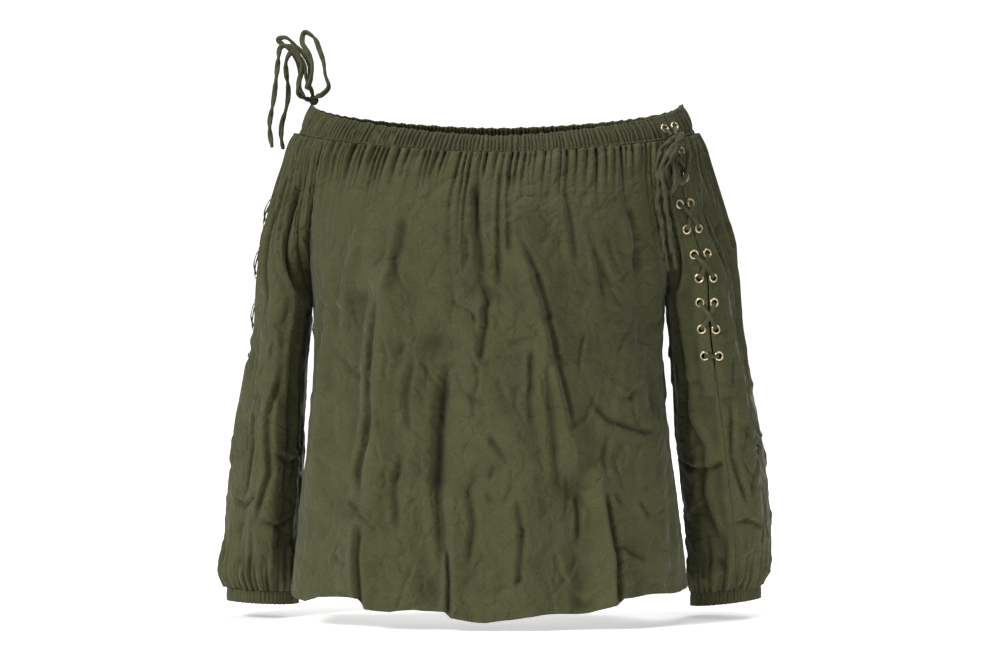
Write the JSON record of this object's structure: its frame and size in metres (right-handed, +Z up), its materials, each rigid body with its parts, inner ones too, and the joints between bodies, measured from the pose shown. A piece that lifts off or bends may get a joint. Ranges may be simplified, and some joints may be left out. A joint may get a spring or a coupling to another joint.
{
  "type": "off-shoulder blouse",
  "caption": "Off-shoulder blouse in worn form: gathered elastic neck band, long full sleeves with elastic cuffs, eyelets and crossed laces tied in bows on the outer sleeves.",
  "frame": {"origin": "middle of the neckline, where the wearer's shoulders hold the blouse", "axes": "+Z up, -Y towards the front, +X towards the right of the front view"},
  "size_m": [0.6107, 0.2768, 0.6372],
  "materials": {
    "cloth": "olive woven viscose, matt",
    "band": "olive viscose gathered over elastic",
    "lace": "olive viscose lace, flat and soft",
    "eyelet": "pale gold plated ring"
  },
  "bodies": {
    "root": {"body_front": "cloth", "body_back": "cloth", "sleeve_left_front": "cloth", "sleeve_left_back": "cloth", "sleeve_right_front": "cloth", "sleeve_right_back": "cloth", "neck_band_front": "band", "neck_band_back": "band", "cuff_left": "band", "cuff_right": "band", "eyelet_left_front_01": "eyelet", "eyelet_left_front_02": "eyelet", "eyelet_left_front_03": "eyelet", "eyelet_left_front_04": "eyelet", "eyelet_left_front_05": "eyelet", "eyelet_left_front_06": "eyelet", "eyelet_left_front_07": "eyelet", "eyelet_left_front_08": "eyelet", "eyelet_left_front_09": "eyelet", "eyelet_left_front_10": "eyelet", "eyelet_left_back_01": "eyelet", "eyelet_left_back_02": "eyelet", "eyelet_left_back_03": "eyelet", "eyelet_left_back_04": "eyelet", "eyelet_left_back_05": "eyelet", "eyelet_left_back_06": "eyelet", "eyelet_left_back_07": "eyelet", "eyelet_left_back_08": "eyelet", "eyelet_left_back_09": "eyelet", "eyelet_left_back_10": "eyelet", "eyelet_right_front_01": "eyelet", "eyelet_right_front_02": "eyelet", "eyelet_right_front_03": "eyelet", "eyelet_right_front_04": "eyelet", "eyelet_right_front_05": "eyelet", "eyelet_right_front_06": "eyelet", "eyelet_right_front_07": "eyelet", "eyelet_right_front_08": "eyelet", "eyelet_right_front_09": "eyelet", "eyelet_right_front_10": "eyelet", "eyelet_right_back_01": "eyelet", "eyelet_right_back_02": "eyelet", "eyelet_right_back_03": "eyelet", "eyelet_right_back_04": "eyelet", "eyelet_right_back_05": "eyelet", "eyelet_right_back_06": "eyelet", "eyelet_right_back_07": "eyelet", "eyelet_right_back_08": "eyelet", "eyelet_right_back_09": "eyelet", "eyelet_right_back_10": "eyelet", "lacing_left": "lace", "lacing_right": "lace", "knot_left": "lace", "knot_right": "lace", "loops_left": "lace", "loops_right": "lace", "tail_left_a": "lace", "tail_left_b": "lace", "tail_right_a": "lace", "tail_right_b": "lace"}
  },
  "joints": []
}
